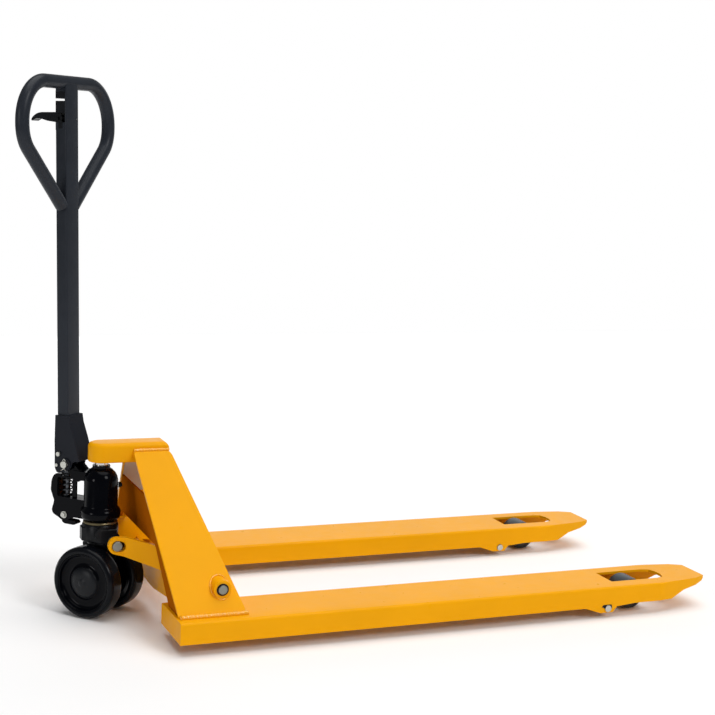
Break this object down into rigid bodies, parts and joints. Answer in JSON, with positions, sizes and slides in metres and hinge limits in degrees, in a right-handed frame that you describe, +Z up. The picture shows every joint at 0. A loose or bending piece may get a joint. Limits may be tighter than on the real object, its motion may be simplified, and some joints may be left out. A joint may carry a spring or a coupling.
{
  "type": "pallet truck",
  "caption": "Hand pallet truck: low twin forks on load rollers, a lift pump on steered foot wheels, and a steering handle with a loop grip.",
  "frame": {"origin": "centre of the bounding box in plan, on the floor", "axes": "+X along the forks towards their tips, +Y to the left of someone facing the fork tips, +Z up"},
  "size_m": [1.6034, 0.692, 1.1822],
  "materials": {
    "yellow_paint": "glossy yellow-orange paint on steel",
    "charcoal_paint": "satin charcoal paint on steel",
    "black_paint": "gloss black paint on cast steel",
    "zinc_steel": "zinc plated or bare ground steel",
    "spring_steel": "dark drawn wire",
    "brass": "dull thrust washer",
    "roller_nylon": "dark grey nylon",
    "tyre": "gloss black polyurethane",
    "wheel_iron": "gloss black paint on cast iron",
    "black_plastic": "semi-gloss moulded plastic"
  },
  "bodies": {
    "chassis": {"fork_near": "yellow_paint", "fork_far": "yellow_paint", "tower_plate_near": "yellow_paint", "tower_plate_far": "yellow_paint", "tower_boss_near": "yellow_paint", "tower_boss_far": "yellow_paint", "rocker_pin_near": "zinc_steel", "rocker_pin_far": "zinc_steel", "leg_pin_near": "zinc_steel", "leg_pin_far": "zinc_steel", "crosshead": "yellow_paint", "cross_panel": "yellow_paint", "lift_ram": "zinc_steel"},
    "base": {"base_block": "black_paint", "stub_pin_near": "zinc_steel", "stub_pin_far": "zinc_steel", "thrust_ring": "brass"},
    "rocker": {"rocker": "yellow_paint"},
    "push_rod_near": {"push_rod_near": "zinc_steel"},
    "push_rod_far": {"push_rod_far": "zinc_steel"},
    "leg_near": {"leg_near": "yellow_paint", "roller_axle_near": "zinc_steel"},
    "leg_far": {"leg_far": "yellow_paint", "roller_axle_far": "zinc_steel"},
    "roller_near": {"load_roller_near": "roller_nylon"},
    "roller_far": {"load_roller_far": "roller_nylon"},
    "steer": {"axle_carrier": "black_paint", "wheel_axle": "zinc_steel", "pump_body": "black_paint", "oil_plug": "black_paint", "relief_plug_upper": "black_paint", "relief_plug_lower": "black_paint", "release_arm": "black_paint", "valve_screw": "zinc_steel"},
    "wheel_near": {"tyre_near": "tyre", "wheel_centre_near": "wheel_iron", "wheel_bearing_near": "zinc_steel", "hub_cap_near": "black_plastic"},
    "wheel_far": {"tyre_far": "tyre", "wheel_centre_far": "wheel_iron", "wheel_bearing_far": "zinc_steel", "hub_cap_far": "black_plastic"},
    "plunger": {"pump_plunger": "zinc_steel", "plunger_spring": "spring_steel"},
    "handle": {"handle_bracket": "charcoal_paint", "handle_pin": "zinc_steel", "cam_roller": "zinc_steel", "bracket_screw_near": "zinc_steel", "bracket_screw_far": "zinc_steel", "handle_post": "charcoal_paint", "handle_loop": "charcoal_paint", "lever_stop": "black_plastic", "lever_guide": "black_plastic", "lever_pin": "zinc_steel", "pull_rod": "spring_steel"},
    "lever": {"release_lever": "black_plastic"}
  },
  "joints": [
    {"name": "lift", "type": "slide", "parent": "chassis", "child": "base", "axis": [0, 0, -1], "range_m": [0, 0.1]},
    {"name": "rocker_turn", "type": "hinge", "parent": "chassis", "child": "rocker", "pos_m": [-0.40331, 0, 0.121], "axis": [0, -1, 0], "range_deg": [0, 31.2]},
    {"name": "push_rod_near_slide", "type": "slide", "parent": "chassis", "child": "push_rod_near", "axis": [1, 0, 0], "range_m": [0, 0.0364]},
    {"name": "leg_near_turn", "type": "hinge", "parent": "chassis", "child": "leg_near", "pos_m": [0.51769, -0.2672, 0.022], "axis": [0, 1, 0], "range_deg": [0, 74.6]},
    {"name": "roller_near_spin", "type": "hinge", "parent": "leg_near", "child": "roller_near", "pos_m": [0.61069, -0.2672, 0.0359], "axis": [0, 1, 0], "continuous": true},
    {"name": "push_rod_far_slide", "type": "slide", "parent": "chassis", "child": "push_rod_far", "axis": [1, 0, 0], "range_m": [0, 0.0364]},
    {"name": "leg_far_turn", "type": "hinge", "parent": "chassis", "child": "leg_far", "pos_m": [0.51769, 0.2672, 0.022], "axis": [0, 1, 0], "range_deg": [0, 74.6]},
    {"name": "roller_far_spin", "type": "hinge", "parent": "leg_far", "child": "roller_far", "pos_m": [0.61069, 0.2672, 0.0359], "axis": [0, 1, 0], "continuous": true},
    {"name": "steer", "type": "hinge", "parent": "base", "child": "steer", "pos_m": [-0.60101, 0, 0], "axis": [0, 0, 1], "range_deg": [-41.8, 138.2]},
    {"name": "wheel_near_spin", "type": "hinge", "parent": "steer", "child": "wheel_near", "pos_m": [-0.60101, 0, 0.08], "axis": [0.7455, 0.6665, 0], "continuous": true},
    {"name": "wheel_far_spin", "type": "hinge", "parent": "steer", "child": "wheel_far", "pos_m": [-0.60101, 0, 0.08], "axis": [0.7455, 0.6665, 0], "continuous": true},
    {"name": "handle_tilt", "type": "hinge", "parent": "steer", "child": "handle", "pos_m": [-0.653, 0.05815, 0.331], "axis": [-0.7455, -0.6665, 0], "range_deg": [0, 80], "stiffness_Nm_per_rad": 22, "springref_deg": -28.65},
    {"name": "plunger_stroke", "type": "slide", "parent": "steer", "child": "plunger", "axis": [0, 0, -1], "range_m": [0, 0.0261], "deforming": ["plunger_spring"]},
    {"name": "lever_turn", "type": "hinge", "parent": "handle", "child": "lever", "pos_m": [-0.6812, 0.08969, 1.09013], "axis": [0.7455, 0.6665, 0], "range_deg": [-8, 8], "stiffness_Nm_per_rad": 6}
  ],
  "couplings": [
    {"joint": "rocker_turn", "follows": "lift", "rad_per_m": 5.428},
    {"joint": "push_rod_near_slide", "follows": "lift", "ratio": 0.363},
    {"joint": "leg_near_turn", "follows": "lift", "rad_per_m": 13.003},
    {"joint": "push_rod_far_slide", "follows": "lift", "ratio": 0.363},
    {"joint": "leg_far_turn", "follows": "lift", "rad_per_m": 13.003},
    {"joint": "plunger_stroke", "follows": "handle_tilt", "m_per_rad": 0.018621}
  ]
}
